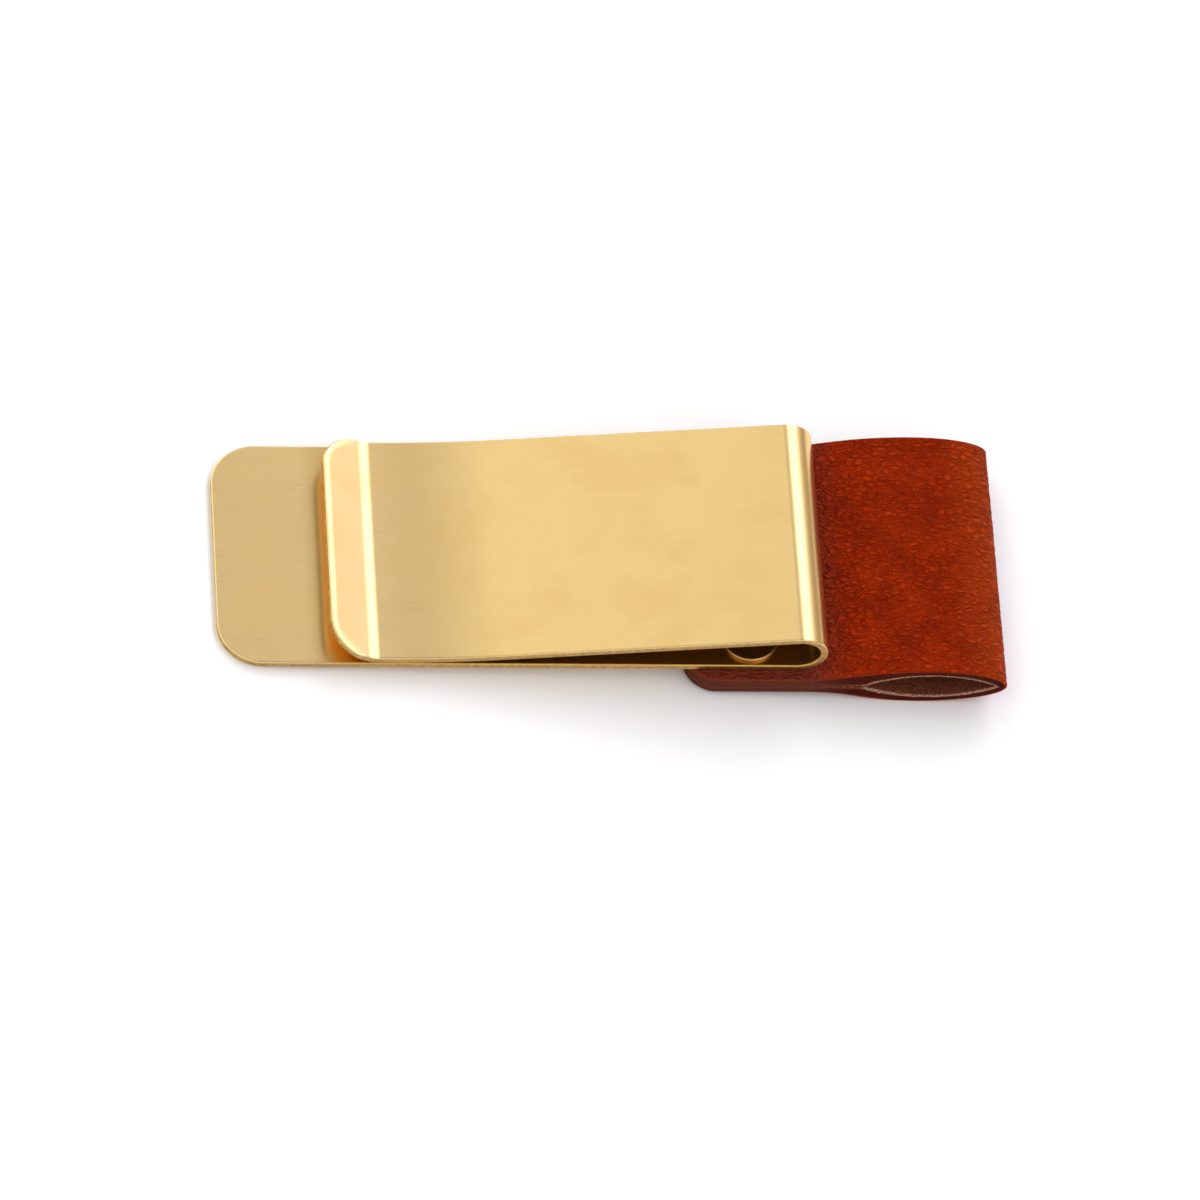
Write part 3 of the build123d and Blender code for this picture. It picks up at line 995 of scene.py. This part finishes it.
class BRASSCLIP_OT_front_leaf(Operator):
    """Build the front leaf, which presses on the back leaf, with its upturned lip"""

    bl_idname = "brassclip.front_leaf"
    bl_label = "Front Leaf"

    def execute(self, context):
        strip = context.scene.clip_strip
        start, slope, runs = leaf_lines()
        marks = np.concatenate([[0], np.cumsum([run for run, _ in runs])])
        counts = (16, 26, 4, 30)
        body = [np.linspace(a, b, n + 1)[:-1] for a, b, n in zip(marks, marks[1:], counts)]
        from_end = end_steps(strip.lip_corner, strip.edge, strip.lip_length, 3)[::-1]
        distance = np.concatenate(body + [marks[-1] - from_end])
        ends = marks[-1] - distance, strip.lip_corner
        look = painted_shade_below, strip.lip_softening
        strip_piece(
            "front_leaf", start, math.pi + slope, runs, distance, *ends, MOVING_BODY, *look, columns=56
        )
        return {"FINISHED"}


class BRASSCLIP_OT_pen_loop(Operator):
    """Build the leather strap, folded into the pen loop"""

    bl_idname = "brassclip.pen_loop"
    bl_label = "Pen Loop"

    def execute(self, context):
        leather_loop()
        return {"FINISHED"}


class BRASSCLIP_OT_rivets(Operator):
    """Build the two rivets, each a headed post and a domed cap"""

    bl_idname = "brassclip.rivets"
    bl_label = "Rivets"

    def execute(self, context):
        strip, rivets = context.scene.clip_strip, context.scene.clip_rivets
        out = strip.width / 2 - rivets.from_edge
        brass = turned_brass()
        for side, across in (("near", -out), ("far", out)):
            for node, (profile, worn) in (("rivet_post", post_profile()), ("rivet_cap", cap_profile())):
                name = f"{node}_{side}"
                turned_piece(name + "_turned", profile, worn, across, name, brass)
        return {"FINISHED"}


class BRASSCLIP_OT_stage(Operator):
    """Set up the floor, the soft studio light and the camera"""

    bl_idname = "brassclip.stage"
    bl_label = "Stage"

    def execute(self, context):
        stage = context.scene.clip_stage
        self.floor()
        self.light(context.scene, stage)
        self.camera(context.scene, stage)
        context.scene.view_settings.view_transform = "Standard"
        return {"FINISHED"}

    def floor(self):
        """A flat square grid of points at height 0."""
        count, half = 9, 4.0
        side = np.linspace(-half, half, count)
        x, y = np.meshgrid(side, side, indexing="ij")
        points = np.stack([x, y, np.zeros_like(x)], -1)
        row, column = np.meshgrid(np.arange(count - 1), np.arange(count - 1), indexing="ij")
        first = row * count + column
        faces = np.stack([first, first + count, first + count + 1, first + 1], -1).reshape(-1, 4)
        mesh = bpy.data.meshes.new("studio_floor")
        mesh.from_pydata(points.reshape(-1, 3), [], faces)
        mesh.materials.append(pale_floor())
        floor = bpy.data.objects.new("studio_floor", mesh)
        bpy.context.scene.collection.objects.link(floor)

    def light(self, scene, stage):
        """A tent of light whose level follows the angle from overhead towards +x: a soft panel over the
        free ends and a bright one over the fold, with a dark gap between them. It dims towards the
        front and low down at the back."""
        world = bpy.data.worlds.new("studio")
        scene.world = world
        world.use_nodes = True
        s = Shader(world.node_tree)
        direction = s.node("TexCoord", {}, {}, 0)
        parts = s.node("SeparateXYZ", {}, {0: direction})
        x, y, z = (Value(s, socket) for socket in parts.socket.node.outputs)
        lean = s.node("Math", {"operation": "ARCTAN2"}, {0: x, 1: z}) / math.pi + 0.5
        panels = s.node("ValToRGB", {"stops": [(0.5 + at / 180, c) for at, *c in TENT]}, {0: lean})
        depth = s.node("ValToRGB", {"stops": [(0.5 + at / 2, (c, c, c)) for at, c in DEPTH]}, {0: y})
        blend = {"data_type": "RGBA", "blend_type": "MULTIPLY"}
        both = s.node("Mix", blend, {0: 1.0, 6: panels, 7: depth}, 2)
        shine = s.node("Background", {}, {"Color": both, "Strength": LIGHT_STRENGTH * stage.light})
        s.node("OutputWorld", {}, {"Surface": shine})

    def camera(self, scene, stage):
        """A camera turned, raised and rolled about the point that it looks at."""
        turn, rise, roll = stage.azimuth, stage.elevation, stage.roll
        back = np.array(
            (math.sin(turn) * math.cos(rise), -math.cos(turn) * math.cos(rise), math.sin(rise))
        )
        right = np.array((math.cos(turn), math.sin(turn), 0.0))
        above = np.cross(back, right)
        rolled_right = math.cos(roll) * right + math.sin(roll) * above
        rolled_above = -math.sin(roll) * right + math.cos(roll) * above
        into_row = np.column_stack([ALONG, ACROSS, UP])
        axes = into_row @ np.column_stack([rolled_right, rolled_above, back])
        aim = np.array((stage.aim_along, -stage.aim_across, 0.0))
        place = corner_point() + into_row @ (aim + back * stage.distance)
        data = bpy.data.cameras.new("studio_camera")
        data.sensor_width = 36
        data.lens = stage.focal_length
        data.clip_start = 0.01
        camera = bpy.data.objects.new("studio_camera", data)
        matrix = np.eye(4)
        matrix[:3, :3], matrix[:3, 3] = axes, place
        camera.matrix_world = Matrix(matrix.tolist())
        scene.collection.objects.link(camera)
        scene.camera = camera


class BRASSCLIP_PT_panel(Panel):
    """Sizes, finishes and pieces of the clip"""

    bl_idname = "BRASSCLIP_PT_panel"
    bl_label = "Brass Clip"
    bl_space_type = "VIEW_3D"
    bl_region_type = "UI"
    bl_category = "Clip"

    def draw(self, context):
        for group, label in GROUPS.items():
            box = self.layout.box()
            box.label(text=label)
            settings = getattr(context.scene, group)
            for key in settings.bl_rna.properties.keys():
                if key not in ("rna_type", "name"):
                    box.prop(settings, key)
        for operator in OPERATORS:
            self.layout.operator(operator.bl_idname)


GROUPS = {
    "clip_strip": "Brass Strip",
    "clip_strap": "Leather Strap",
    "clip_rivets": "Rivets",
    "clip_stage": "Stage",
}
GROUP_CLASSES = (BRASSCLIP_PG_strip, BRASSCLIP_PG_strap, BRASSCLIP_PG_rivets, BRASSCLIP_PG_stage)
OPERATORS = (
    BRASSCLIP_OT_stage,
    BRASSCLIP_OT_back_leaf,
    BRASSCLIP_OT_fold_spring,
    BRASSCLIP_OT_front_leaf,
    BRASSCLIP_OT_pen_loop,
    BRASSCLIP_OT_rivets,
)


def register():
    """Registers the classes and hangs each group of settings on the scene."""
    for made in (*GROUP_CLASSES, *OPERATORS, BRASSCLIP_PT_panel):
        bpy.utils.register_class(made)
    for name, group in zip(GROUPS, GROUP_CLASSES):
        setattr(bpy.types.Scene, name, PointerProperty(type=group))


def unregister():
    """Takes away what register put in place."""
    for name in GROUPS:
        delattr(bpy.types.Scene, name)
    for made in reversed((*GROUP_CLASSES, *OPERATORS, BRASSCLIP_PT_panel)):
        bpy.utils.unregister_class(made)


def main():
    """Builds the whole clip."""
    register()
    bpy.ops.brassclip.stage()
    bpy.ops.brassclip.back_leaf()
    bpy.ops.brassclip.fold_spring()
    bpy.ops.brassclip.front_leaf()
    bpy.ops.brassclip.pen_loop()
    bpy.ops.brassclip.rivets()


if __name__ == "__main__":
    main()
